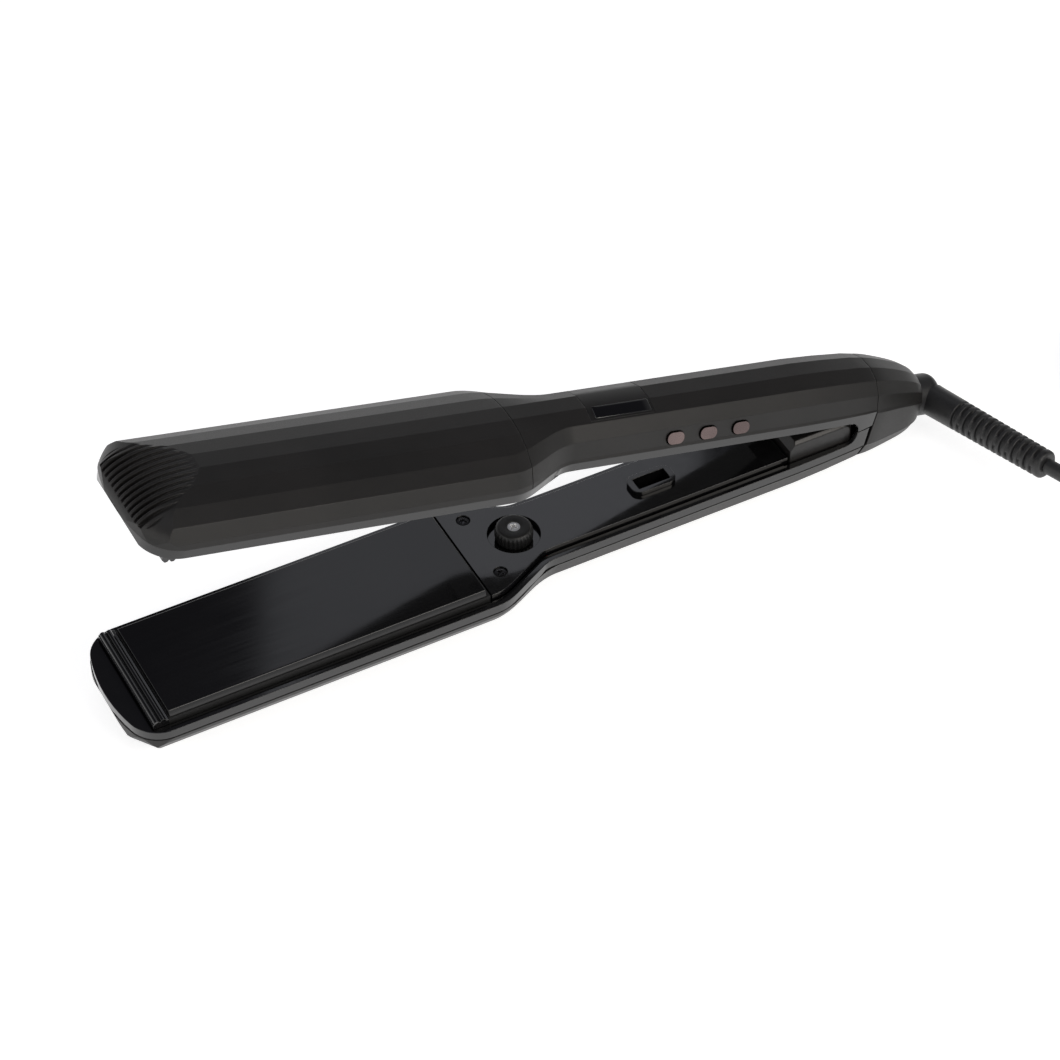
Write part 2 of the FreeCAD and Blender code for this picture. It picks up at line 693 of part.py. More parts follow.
bracket = new_body("hinge_bracket", "upper")
box(bracket, ("243", "264"), ("-7", "7"), ("8.6", "10.2"))
for low, high in (("4", "6.2"), ("-6.2", "-4")):
    box(bracket, ("hinge_x - eye_radius", "hinge_x + eye_radius"), (low, high), ("0", "9"))
    rod(bracket, ("hinge_x", low, "0"), "2.2", "eye_radius", "y")
    rod(bracket, ("hinge_x", low, "0"), "2.2", "pin_radius", "y", cut=True)

pin = new_body("hinge_pin", "upper")
rod(pin, ("hinge_x", "-6.2", "0"), "16.2", "pin_radius", "y")
rod(pin, ("hinge_x", "-7", "0"), "0.8", "2.5", "y")

SPRING_RADIUS = 2.9
WIRE_RADIUS = 0.45
inner_radius = SPRING_RADIUS - WIRE_RADIUS
SPRING_FROM = 6.9


def spring_point(radius, along):
    return Vec(size("hinge_x") + radius, SPRING_FROM + along, 0)


spring_profile = [Part.makeLine(spring_point(SPRING_RADIUS, 0), spring_point(inner_radius, 0))]
for winding in range(3):
    low, middle, high = [2 * WIRE_RADIUS * (winding + share) for share in (0, 0.5, 1)]
    bulge = Part.Arc(spring_point(SPRING_RADIUS, low), spring_point(SPRING_RADIUS + WIRE_RADIUS, middle),
                     spring_point(SPRING_RADIUS, high))
    spring_profile.append(bulge.toShape())
spring_profile.append(Part.makeLine(spring_point(SPRING_RADIUS, high), spring_point(inner_radius, high)))
spring_profile.append(Part.makeLine(spring_point(inner_radius, high), spring_point(inner_radius, 0)))
spring_face = Part.Face(Part.Wire(Part.sortEdges(spring_profile)[0]))
spring_shape = spring_face.revolve(Vec(size("hinge_x"), 0, 0), Y_AXIS, 360)
keep_shape("hinge_spring", spring_shape, UPPER)

# ------------------------------------------------------------------ rear cap and cord swivel

cap_stations = [x for x, _, _ in TAPER[3:]]
cap_form = Part.makeLoft([ring_section(x, 0) for x in cap_stations], True, False)
cap_inside = Part.makeLoft([ring_section(x, size("wall")) for x in cap_stations], True, False)
cap_inside = cap_inside.common(between(250, size("cap_end_x") - 2.5))
cap_bore = Part.makeCylinder(5.26, 20, Vec(270, 0, 0), X_AXIS)
keep_shape("rear_cap", cap_form.cut(cap_inside).cut(cap_bore), UPPER)

stub = new_body("swivel_stub", "upper")
rod(stub, ("cap_end_x - 4.7", "0", "0"), "1.8", "6.6", "x")
rod(stub, ("cap_end_x - 4", "0", "0"), "5", "5.2", "x")
stub_head = rod(stub, ("cap_end_x + 0.3", "0", "0"), "stub_rear - cap_end_x - 0.3", "stub_radius", "x")
soften(stub, stub_head, "3.2",
       lambda edge: len(edge.Vertexes) == 1 and edge.CenterOfMass.x > size("stub_rear") - 0.1)

sleeve = new_body("cord_sleeve", "upper")
sleeve_turn = FreeCAD.Rotation(X_AXIS, -size("sleeve_roll")).multiply(
    FreeCAD.Rotation(Z_AXIS, -size("sleeve_angle"))).multiply(FreeCAD.Rotation(Y_AXIS, 90))
sleeve_way = sleeve_turn.multVec(Z_AXIS)
SLEEVE_ROOT = 4.5
sleeve_from = ("sleeve_x + %.4f" % (sleeve_way.x * SLEEVE_ROOT), "%.4f" % (sleeve_way.y * SLEEVE_ROOT),
               "%.4f" % (sleeve_way.z * SLEEVE_ROOT))
rod(sleeve, sleeve_from, "11.5", "sleeve_radius", turn=sleeve_turn)
taper_part = sleeve.newObject("PartDesign::AdditiveCone", "sleeve_taper")
taper_part.Placement = FreeCAD.Placement(Vec(), sleeve_turn)
for axis, start in zip("xyz", sleeve_from):
    taper_part.setExpression("Placement.Base." + axis, named(start))
taper_part.setExpression("Height", named("sleeve_length - %.1f" % SLEEVE_ROOT))
taper_part.setExpression("Radius1", named("sleeve_radius"))
taper_part.setExpression("Radius2", named("sleeve_radius - 0.6"))
rod(sleeve, ("cap_end_x", "0", "0"), "stub_rear - cap_end_x", "stub_radius", "x", cut=True)
rod(sleeve, ("stub_rear - 0.1", "0", "0"), "6", "3.2", "x", cut=True)

rings = new_body("contact_rings", "upper")
rod(rings, ("265", "0", "0"), "8", "5", "x")
rod(rings, ("267", "0", "0"), "1.2", "5.6", "x")
rod(rings, ("270", "0", "0"), "1.2", "5.6", "x")

# ------------------------------------------------------------------ cord, coil and plug, on the floor

CORD = size("cord_radius")
cord_start = UPPER.multVec(Vec(size("sleeve_x"), 0, 0) + sleeve_way * (size("sleeve_length") + 0.5))
cord_way = UPPER.Rotation.multVec(sleeve_way)
coil_low = size("tie_thickness")
lay_height = coil_low + CORD
first_bend = cord_start + cord_way * 24
second_bend = first_bend + Vec(19, -12, -9)
third_bend = second_bend + Vec(33, 5, 0)
third_bend.z = lay_height
coil_entry = third_bend + Vec(36, 8, 0)


def rounded_path(corners):
    """Straight runs joined by tangent arcs."""
    edges = []
    last = corners[0]
    for before, here, after in zip(corners, corners[1:], corners[2:]):
        arriving = (here - before).normalize()
        leaving = (after - here).normalize()
        half_turn = arriving.getAngle(leaving) / 2
        back = 0.45 * min((here - before).Length, (after - here).Length)
        radius = back / math.tan(half_turn)
        start = here - arriving * back
        end = here + leaving * back
        inward = (leaving - arriving).normalize()
        middle = here + inward * (radius / math.cos(half_turn) - radius)
        edges.append(Part.makeLine(last, start))
        edges.append(Part.Arc(start, middle, end).toShape())
        last = end
    edges.append(Part.makeLine(last, corners[-1]))
    return Part.Wire(edges)


def tube(path, radius):
    start = path.Edges[0].valueAt(path.Edges[0].FirstParameter)
    way = path.Edges[0].tangentAt(path.Edges[0].FirstParameter)
    ring = Part.Wire([Part.Circle(start, way, radius).toShape()])
    return path.makePipeShell([ring], True, False)


entry_way = (coil_entry - third_bend).normalize()
to_centre = Vec(-entry_way.y, entry_way.x, 0)
outer_turn = size("coil_radius") + size("coil_half_width") - CORD
coil_centre = coil_entry + to_centre * outer_turn
coil_centre.z = 0

coil = new_body("cord_coil")
inner = "coil_radius - coil_half_width"
outer = "coil_radius + coil_half_width"
low = "tie_thickness"
high = "tie_thickness + coil_height"
coil_outline = outline(coil, "XZ_Plane", "0",
                       [(inner, low + " + 3"), (inner + " + 3", low), (outer + " - 3", low),
                        (outer, low + " + 3"), (outer, high + " - 3"), (outer + " - 3", high),
                        (inner + " + 3", high), (inner, high + " - 3")])
revolve(coil, coil_outline, "Z_Axis")
coil.Placement = FreeCAD.Placement(coil_centre, FreeCAD.Rotation())
doc.recompute()
coil_solid = coil.Shape.copy()

cord_path = rounded_path([cord_start, first_bend, second_bend, third_bend, coil_entry])
keep_shape("cord", tube(cord_path, CORD).cut(coil_solid))

tie_height = size("coil_height") + 2 * size("tie_thickness")
tie_block = Part.makeBox(12, 2 * size("coil_half_width") + 2, tie_height,
                         coil_centre + Vec(-6, size("coil_radius") - size("coil_half_width") - 1, 0))
keep_shape("cord_tie", tie_block.cut(coil_solid))

PLUG_HEIGHT = 8.7
TAIL_LENGTH = 26
RELIEF_LENGTH = 14
tail_start = coil_centre + Vec(0, -outer_turn, PLUG_HEIGHT)
tail = Part.makeCylinder(CORD, TAIL_LENGTH, tail_start, X_AXIS)
keep_shape("cord_tail", tail.cut(coil_solid))

along_tail = FreeCAD.Rotation(Z_AXIS, -90)
relief = new_body("plug_relief")
relief_cone = relief.newObject("PartDesign::AdditiveCone", "relief_cone")
relief_cone.Placement = FreeCAD.Placement(Vec(), FreeCAD.Rotation(X_AXIS, -90))
relief_cone.Radius1 = 3.6
relief_cone.Radius2 = 5.2
relief_cone.Height = RELIEF_LENGTH
relief.Placement = FreeCAD.Placement(tail_start + X_AXIS * TAIL_LENGTH, along_tail)

plug_place = FreeCAD.Placement(tail_start + X_AXIS * (TAIL_LENGTH + RELIEF_LENGTH), along_tail)
plug = new_body("plug_body")
plug_block = box(plug, ("-11", "11"), ("0", "26"), ("-8.7", "8.7"))
soften(plug, plug_block, "3.5", lambda edge: runs_along(edge, Y_AXIS))
for side in ("-7.1", "5.6"):
    box(plug, (side, side + " + 1.5"), ("22", "27"), ("-3.2", "3.2"), cut=True)
plug.Placement = plug_place

for name, side in (("plug_blade_left", "-7.1"), ("plug_blade_right", "5.6")):
    blade = new_body(name)
    box(blade, (side, side + " + 1.5"), ("22", "43"), ("-3.2", "3.2"))
    blade.Placement = plug_place

# ------------------------------------------------------------------ check and write

doc.recompute()
bad = [item.Name for item in doc.Objects if "Invalid" in item.State or "Error" in item.State]
for piece in pieces:
    shape = piece.Shape
    if shape.isNull() or not shape.isValid() or not shape.Solids:
        bad.append(piece.Name)
print("pieces", len(pieces), "problems", bad)
for piece in pieces:
    piece.Shape.exportStep("parts/%s.step" % piece.Label)
    count = len(piece.Shape.Solids)
    if count != 1:
        print(piece.Label, "has", count, "solids")
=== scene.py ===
import bmesh
import bpy
import json
import math
from mathutils import Matrix, Quaternion, Vector


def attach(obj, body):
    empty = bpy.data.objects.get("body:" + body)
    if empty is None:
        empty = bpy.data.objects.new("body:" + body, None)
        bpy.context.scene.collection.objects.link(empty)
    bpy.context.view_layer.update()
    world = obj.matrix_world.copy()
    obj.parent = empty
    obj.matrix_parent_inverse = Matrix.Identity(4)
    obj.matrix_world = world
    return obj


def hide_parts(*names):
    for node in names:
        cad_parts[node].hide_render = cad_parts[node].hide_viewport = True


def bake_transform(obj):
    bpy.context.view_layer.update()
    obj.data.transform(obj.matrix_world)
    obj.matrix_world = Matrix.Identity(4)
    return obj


# Looks of the flat iron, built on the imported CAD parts. Blender works in metres; a length written
# in millimetres is turned into metres with MM, upper_place or lower_place.

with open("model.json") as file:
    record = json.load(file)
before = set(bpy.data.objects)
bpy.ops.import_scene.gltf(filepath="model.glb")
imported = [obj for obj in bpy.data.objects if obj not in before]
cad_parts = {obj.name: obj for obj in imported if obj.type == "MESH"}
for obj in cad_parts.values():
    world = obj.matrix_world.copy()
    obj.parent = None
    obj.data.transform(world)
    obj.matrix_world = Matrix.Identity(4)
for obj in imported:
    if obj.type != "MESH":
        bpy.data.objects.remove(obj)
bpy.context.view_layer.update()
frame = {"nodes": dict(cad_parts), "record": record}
NODES = frame["nodes"]
BODY_OF = {node: body for body, members in frame["record"]["behaviour"]["bodies"].items()
           for node in members}
MM = 0.001

# The arms in CAD: x runs from the plate's tip end, z out from the plane where the plates meet.
OPEN_ANGLE = math.radians(14.28)
HINGE = Vector((107, 0, 19.7)) * MM
ORIGIN_X = 145
CLOSING_HEIGHT = 19.7

CAMERA_DISTANCE = 1.1195

# ------------------------------------------------------------------ camera, light and floor


def add_camera():
    data = bpy.data.cameras.new("camera")
    camera = bpy.data.objects.new("camera", data)
    bpy.context.scene.collection.objects.link(camera)
    data.sensor_width = 36
    data.lens = 118.9
    data.clip_start = 0.05
    data.clip_end = 20
    target = Vector((-10.35, -2.67, 19.7)) * MM
    right = Vector((0.88283, -0.46969, 0.00037))
    up = Vector((0.33230, 0.62515, 0.70623))
    back = Vector((-0.33195, -0.62336, 0.70798))
    turn = Matrix((right, up, back)).transposed().to_4x4()
    camera.matrix_world = Matrix.Translation(target + back * CAMERA_DISTANCE) @ turn
    bpy.context.scene.camera = camera


def add_area(name, place, aim, size, power, colour):
    data = bpy.data.lights.new(name, "AREA")
    data.shape = "RECTANGLE"
    data.size = size[0]
    data.size_y = size[1]
    data.energy = power
    data.color = colour
    light = bpy.data.objects.new(name, data)
    light.location = place
    light.rotation_euler = (Vector(place) - Vector(aim)).to_track_quat("Z", "Y").to_euler()
    bpy.context.scene.collection.objects.link(light)


def add_studio():
    """White floor, a white horizon and a dim ceiling, so that dark gloss stays dark from above."""
    mesh = bpy.data.meshes.new("floor")
    reach = 4.0
    mesh.from_pydata([(-reach, -reach, 0), (reach, -reach, 0), (reach, reach, 0), (-reach, reach, 0)],
                     [], [(0, 1, 2, 3)])
    floor = bpy.data.objects.new("floor", mesh)
    floor.location.z = -0.0004
    bpy.context.scene.collection.objects.link(floor)
    material, nodes, links, shader = new_material("studio_floor")
    shader.inputs["Base Color"].default_value = (0.6, 0.6, 0.6, 1)
    shader.inputs["Roughness"].default_value = 0.9
    shader.inputs["Emission Color"].default_value = (1, 1, 1, 1)
    shader.inputs["Emission Strength"].default_value = 0.8
    floor.data.materials.append(material)

    world = bpy.data.worlds.new("studio")
    bpy.context.scene.world = world
    world.use_nodes = True
    tree = world.node_tree
    background = tree.nodes["Background"]
    place = tree.nodes.new("ShaderNodeTexCoord")
    split = tree.nodes.new("ShaderNodeSeparateXYZ")
    ramp = tree.nodes.new("ShaderNodeValToRGB")
    tree.links.new(place.outputs["Generated"], split.inputs[0])
    tree.links.new(split.outputs["Z"], ramp.inputs[0])
    tree.links.new(ramp.outputs[0], background.inputs["Color"])
    ramp.color_ramp.elements[0].position = 0.0
    ramp.color_ramp.elements[0].color = (1, 1, 1, 1)
    ramp.color_ramp.elements[1].position = 0.60
    ramp.color_ramp.elements[1].color = (0.065, 0.065, 0.078, 1)
    middle = ramp.color_ramp.elements.new(0.22)
    middle.color = (0.5, 0.5, 0.5, 1)
    background.inputs["Strength"].default_value = 1.0
    add_area("top_softbox", (-0.1, -0.25, 1.5), (0, 0, 0), (1.5, 1.2), 4, (0.94, 0.95, 1))
    add_area("left_softbox", (-1.5, -0.2, 0.9), (0, 0, 0.03), (0.9, 0.9), 5, (1, 0.98, 0.95))
    add_area("front_softbox", (0.5, -1.15, 0.98), (0.03, 0, 0.03), (1.2, 0.5), 10, (1, 0.95, 0.88))
    add_area("back_softbox", (0.37, 0.78, 0.88), (0.02, 0, 0.02), (0.3, 0.5), 0.32, (0.92, 0.94, 1))


# ------------------------------------------------------------------ materials


def new_material(name):
    material = bpy.data.materials.new(name)
    material.use_nodes = True
    tree = material.node_tree
    return material, tree.nodes, tree.links, tree.nodes["Principled BSDF"]


def noise(nodes, links, scale, detail=4.0, stretch=None):
    """Noise fixed to the object, in features per metre; stretch squeezes it along an axis."""
    place = nodes.new("ShaderNodeTexCoord")
    texture = nodes.new("ShaderNodeTexNoise")
    texture.inputs["Scale"].default_value = scale
    texture.inputs["Detail"].default_value = detail
    source = place.outputs["Object"]
    if stretch:
        mapping = nodes.new("ShaderNodeMapping")
        mapping.inputs["Scale"].default_value = stretch
        links.new(source, mapping.inputs["Vector"])
        source = mapping.outputs[0]
    links.new(source, texture.inputs["Vector"])
    return texture.outputs["Fac"]


def spread(nodes, links, value, low, high):
    """Map a 0..1 value onto a range."""
    node = nodes.new("ShaderNodeMapRange")
    node.inputs["To Min"].default_value = low
    node.inputs["To Max"].default_value = high
    node.inputs["From Min"].default_value = 0.3
    node.inputs["From Max"].default_value = 0.7
    links.new(value, node.inputs["Value"])
    return node.outputs[0]


def surface(name, colours, rough, grain, bump=0.0, metallic=0.0, coat=0.0, stretch=None, edge=0.0,
            shine=0.5):
    """A moulded or finished surface: two close colours and a roughness band driven by fine noise.

    grain is the fine noise in features per metre, and edge is the radius, in millimetres, to which
    sharp edges look rounded.
    """
    material, nodes, links, shader = new_material(name)
    blotch = noise(nodes, links, 45, 3.0)
    fine = noise(nodes, links, grain, 5.0, stretch)
    ramp = nodes.new("ShaderNodeValToRGB")
    ramp.color_ramp.elements[0].position = 0.35
    ramp.color_ramp.elements[0].color = (*colours[0], 1)
    ramp.color_ramp.elements[1].position = 0.65
    ramp.color_ramp.elements[1].color = (*colours[1], 1)
    links.new(blotch, ramp.inputs[0])
    links.new(ramp.outputs[0], shader.inputs["Base Color"])
    links.new(spread(nodes, links, fine, rough[0], rough[1]), shader.inputs["Roughness"])
    shader.inputs["Metallic"].default_value = metallic
    shader.inputs["Specular IOR Level"].default_value = shine
    shader.inputs["Coat Weight"].default_value = coat
    shader.inputs["Coat Roughness"].default_value = 0.04
    lift = nodes.new("ShaderNodeBump")
    lift.inputs["Strength"].default_value = bump
    lift.inputs["Distance"].default_value = 0.00004
    links.new(fine, lift.inputs["Height"])
    if edge:
        rounding = nodes.new("ShaderNodeBevel")
        rounding.samples = 6
        rounding.inputs["Radius"].default_value = edge * MM
        links.new(rounding.outputs[0], lift.inputs["Normal"])
    links.new(lift.outputs[0], shader.inputs["Normal"])
    return material


def make_materials():
    return {
        "cover": surface("satin_cover", ((0.0095, 0.009, 0.0085), (0.013, 0.012, 0.0115)),
                         (0.36, 0.46), 2600, 0.35, edge=0.35, shine=0.36),
        "gloss": surface("gloss_black", ((0.0035, 0.0035, 0.0038), (0.005, 0.005, 0.0055)),
                         (0.07, 0.13), 300, 0.0, coat=0.4),
        "plate": surface("coated_plate", ((0.004, 0.004, 0.0045), (0.006, 0.006, 0.0065)),
                         (0.07, 0.11), 900, 0.05, stretch=(0.04, 1, 1)),
        "inner": surface("inner_moulding", ((0.012, 0.012, 0.012), (0.018, 0.018, 0.018)),
                         (0.45, 0.6), 1800, 0.3),
        "lens": surface("smooth_satin", ((0.0085, 0.008, 0.0078), (0.0115, 0.011, 0.0108)), (0.3, 0.36),
                        400, 0.0, edge=0.3, shine=0.4),
        "screen": surface("display_screen", ((0.0012, 0.0012, 0.0014), (0.0018, 0.0018, 0.002)),
                          (0.04, 0.07), 400, 0.0, coat=0.6),
        "button": surface("rose_metal", ((0.11, 0.085, 0.083), (0.19, 0.145, 0.14)), (0.2, 0.32), 1800, 0.4,
                          metallic=1.0),
        "knob": surface("knurled_black", ((0.008, 0.008, 0.008), (0.012, 0.012, 0.012)),
                        (0.4, 0.55), 2600, 0.3),
        "steel": surface("brushed_steel", ((0.48, 0.48, 0.49), (0.6, 0.6, 0.61)), (0.22, 0.4), 1200, 0.15,
                         metallic=1.0, stretch=(1, 8, 1)),
        "screw": surface("bright_screw", ((0.78, 0.78, 0.78), (0.88, 0.88, 0.88)), (0.4, 0.52), 2500, 0.1,
                         metallic=1.0),
        "dark_screw": surface("black_screw", ((0.05, 0.05, 0.055), (0.09, 0.09, 0.095)),
                              (0.22, 0.36), 2500, 0.15, metallic=0.9),
        "bronze": surface("bronze", ((0.42, 0.26, 0.11), (0.52, 0.33, 0.15)), (0.25, 0.4), 1500, 0.15,
                          metallic=1.0),
        "silicone": surface("silicone", ((0.35, 0.35, 0.35), (0.45, 0.45, 0.44)),
                            (0.5, 0.65), 1200, 0.3),
        "board": surface("circuit_board", ((0.01, 0.09, 0.03), (0.015, 0.13, 0.045)),
                         (0.3, 0.45), 800, 0.2),
        "heater": surface("ceramic", ((0.62, 0.61, 0.57), (0.72, 0.71, 0.68)),
                          (0.55, 0.7), 1500, 0.3),
        "wire": surface("red_wire", ((0.35, 0.03, 0.02), (0.45, 0.05, 0.03)), (0.4, 0.5), 900, 0.2),
        "cord": surface("cord_rubber", ((0.010, 0.010, 0.0105), (0.017, 0.017, 0.0175)),
                        (0.36, 0.5), 1600, 0.4),
        "blade": surface("plated_brass", ((0.60, 0.48, 0.26), (0.70, 0.57, 0.32)), (0.16, 0.3), 1200, 0.1,
                         metallic=1.0, stretch=(1, 6, 1)),
    }


# ------------------------------------------------------------------ mesh helpers


def new_piece(name, mesh, material, body, *replaced):
    piece = bpy.data.objects.new(name, mesh)
    bpy.context.scene.collection.objects.link(piece)
    mesh.materials.clear()
    mesh.materials.append(MATERIALS[material])
    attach(piece, body)
    if replaced:
        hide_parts(*replaced)
    return piece


FACET_ANGLE = math.radians(7)
MOULD_ANGLE = math.radians(28)
FLAT_ANGLE = math.radians(0.4)
MERGE_DISTANCE = 2e-6


def faceted(node, material):
    """A copy of a CAD shell that keeps its facets crisp and shades its curved parts smoothly."""
    mesh = NODES[node].data.copy()
    if mesh.attributes.get("custom_normal"):
        mesh.attributes.remove(mesh.attributes["custom_normal"])
    shape = bmesh.new()
    shape.from_mesh(mesh)
    bmesh.ops.remove_doubles(shape, verts=shape.verts, dist=MERGE_DISTANCE)
    for face in shape.faces:
        face.smooth = True
    for edge in shape.edges:
        edge.smooth = len(edge.link_faces) == 2 and edge.calc_face_angle(0) < FACET_ANGLE
    shape.to_mesh(mesh)
    shape.free()
    piece = new_piece(node + "_finish", mesh, material, BODY_OF[node], node)
    normals = piece.modifiers.new("shading", "WEIGHTED_NORMAL")
    normals.keep_sharp = True
    return piece


def softened(node, material, width):
    """A copy of a CAD node with its sharp edges rounded to a width in millimetres."""
    mesh = NODES[node].data.copy()
    shape = bmesh.new()
    shape.from_mesh(mesh)
    bmesh.ops.remove_doubles(shape, verts=shape.verts, dist=MERGE_DISTANCE)
    bmesh.ops.dissolve_limit(shape, angle_limit=FLAT_ANGLE, verts=shape.verts, edges=shape.edges)
    for face in shape.faces:
        face.smooth = True
    shape.to_mesh(mesh)
    shape.free()
    piece = new_piece(node + "_finish", mesh, material, BODY_OF[node], node)
    bevel = piece.modifiers.new("edges", "BEVEL")
    bevel.width = width * MM
    bevel.segments = 4 if width > 0.8 else 2
    bevel.limit_method = "ANGLE"
    bevel.angle_limit = MOULD_ANGLE
    bevel.use_clamp_overlap = True
    bevel.miter_outer = "MITER_ARC"
    normals = piece.modifiers.new("shading", "WEIGHTED_NORMAL")
    normals.keep_sharp = True
    return piece


def grid_mesh(name, rows, cap_start=False, cap_end=False):
    """A skin over closed rings of points, with a flat cap on either end if asked."""
    count = len(rows[0])
    points = [point for row in rows for point in row]
    faces = []
    for i in range(len(rows) - 1):
        for j in range(count):
            k = (j + 1) % count
            faces.append((i * count + j, i * count + k, (i + 1) * count + k, (i + 1) * count + j))
    if cap_start:
        faces.append(tuple(reversed(range(count))))
    if cap_end:
        faces.append(tuple(range((len(rows) - 1) * count, len(rows) * count)))
    mesh = bpy.data.meshes.new(name)
    mesh.from_pydata(points, [], faces)
    mesh.polygons.foreach_set("use_smooth", [True] * len(mesh.polygons))
    mesh.update()
    return mesh


def upper_place(x, y, z):
    """A point of the upper arm, given in closed millimetres, where it lies in the open iron."""
    closed = Vector((x - ORIGIN_X, y, CLOSING_HEIGHT + z)) * MM
    return Quaternion((0, 1, 0), OPEN_ANGLE) @ (closed - HINGE) + HINGE


def lower_place(x, y, z):
    """A point of the lower arm; z is the depth below the closing plane."""
    return Vector((x - ORIGIN_X, y, CLOSING_HEIGHT - z)) * MM


# ------------------------------------------------------------------ cord, coil and plug

# The route is in millimetres of the frame: CAD's bend points, then the coil turn by turn.
CORD_RADIUS = 2.6 * MM
CORD_START = Vector((154.48, -53.42, 16.54))
CORD_ROUTE = [(160.56, -76.53, 18.86), (179.56, -88.53, 9.86), (212.56, -83.53, 3.4)]
COIL_ENTRY = Vector((248.56, -75.53, 3.4))
COIL_CENTRE = Vector((238.69, -31.11, 0))
OUTER_TURN = 45.5
TURN_STEP = 5.26
LAYER_STEP = 5.25
TURNS_PER_LAYER = 6
POINTS_PER_TURN = 24
SPLINE_SHRINK = 0.9915
PLUG_HEIGHT = 8.7


def track(lap):
    """Radius and height of one turn of the coil: inward on the floor, then outward on top."""
    if lap < TURNS_PER_LAYER:
        return OUTER_TURN - TURN_STEP * lap, COIL_ENTRY.z
    return OUTER_TURN - TURN_STEP * (2 * TURNS_PER_LAYER - 1 - lap), COIL_ENTRY.z + LAYER_STEP


def coil_points():
    """Each turn keeps its radius and shifts to the next one along a short part of the circle.

    A smooth curve runs a little inside its points, so they are set out by SPLINE_SHRINK.
    """
    points = []
    entry = COIL_ENTRY - COIL_CENTRE
    start = math.atan2(entry.y, entry.x)
    laps = 2 * TURNS_PER_LAYER - 1 + (-0.25 - start / (2 * math.pi))
    for step in range(1, int(laps * POINTS_PER_TURN)):
        turned = step / POINTS_PER_TURN
        lap = int(turned)
        shift_from = 0.70 if lap < TURNS_PER_LAYER else 0.40
        share = min(1.0, max(0.0, (turned - lap - shift_from) / 0.30))
        share = share * share * (3 - 2 * share)
        here, there = track(lap), track(lap + 1)
        radius = (here[0] + (there[0] - here[0]) * share) / SPLINE_SHRINK
        height = here[1] + (there[1] - here[1]) * share
        angle = start + turned * 2 * math.pi
        points.append(COIL_CENTRE + Vector((radius * math.cos(angle), radius * math.sin(angle), height)))
    return points


def add_cord():
    tail = COIL_CENTRE + Vector((0, -OUTER_TURN, PLUG_HEIGHT))
    points = [CORD_START] + [Vector(point) for point in CORD_ROUTE] + [COIL_ENTRY] + coil_points()
    points += [tail + Vector((2, 0, 0)), tail + Vector((12, 0, 0)), tail + Vector((32, 0, 0))]
    curve = bpy.data.curves.new("cord_line", "CURVE")
    curve.dimensions = "3D"
    curve.resolution_u = 4
    curve.bevel_resolution = 6
    spline = curve.splines.new("NURBS")
    spline.points.add(len(points) - 1)
    for point, place in zip(spline.points, points):
        point.co = (*(place * MM), 1)
    spline.order_u = 3
    spline.use_endpoint_u = True
    route = bpy.data.objects.new("cord_route", curve)
    bpy.context.scene.collection.objects.link(route)
    bpy.context.view_layer.update()
    centreline = bpy.data.meshes.new_from_object(route)
    curve.bevel_depth = CORD_RADIUS
    curve.use_fill_caps = True
    bpy.context.view_layer.update()
    graph = bpy.context.evaluated_depsgraph_get()
    tube = bpy.data.meshes.new_from_object(route.evaluated_get(graph))
    bpy.data.objects.remove(route)
    cord = new_piece("cord_tube", tube, "cord", "root", "cord", "cord_coil", "cord_tail")
    tube.polygons.foreach_set("use_smooth", [True] * len(tube.polygons))
    world = cord.matrix_world.copy()
    cord.parent = None
    cord.matrix_world = world
    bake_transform(cord)


# ------------------------------------------------------------------ strain relief sleeve

# Millimetres in the upper arm; SLEEVE_ROOT is where the skin starts along the sleeve.
SLEEVE_X = 286.5
SLEEVE_ANGLE = math.radians(77.2)
SLEEVE_ROLL = math.radians(9.2)
SLEEVE_RADIUS = 5.5
SLEEVE_ROOT = 4.5
SLEEVE_LENGTH = 55.0
SLEEVE_RINGS = 420
SLEEVE_SIDES = 64
FLARE_LENGTH = 6.0
END_ROUND = 1.2
RIB_PITCH = 2.62
FIRST_RIB = 16.5
RIB_COUNT = 14


def sleeve_radius(along, angle):
    """Ribbed from the first rib on; each groove stops at two webs that turn by a quarter each time."""
    radius = SLEEVE_RADIUS - 0.6 * along / SLEEVE_LENGTH
    if along < FLARE_LENGTH:
        radius += 0.25 * (1 - along / FLARE_LENGTH)
    place = (along - FIRST_RIB) / RIB_PITCH
    if 0 <= place < RIB_COUNT:
        groove = 0.5 - 0.5 * math.cos(2 * math.pi * (place - int(place)))
        groove = min(1.0, max(0.0, (groove - 0.35) / 0.3))
        web_turn = math.pi / 2 * (int(place) % 2)
        web = abs(math.cos(angle - web_turn - 0.5))
        open_share = min(1.0, max(0.0, (0.93 - web) / 0.06))
        radius -= 1.2 * groove * (0.4 + 0.6 * open_share)
    edge = SLEEVE_LENGTH - along
    if edge < END_ROUND:
        radius -= END_ROUND - math.sqrt(max(0.0, END_ROUND ** 2 - (END_ROUND - edge) ** 2))
    return radius


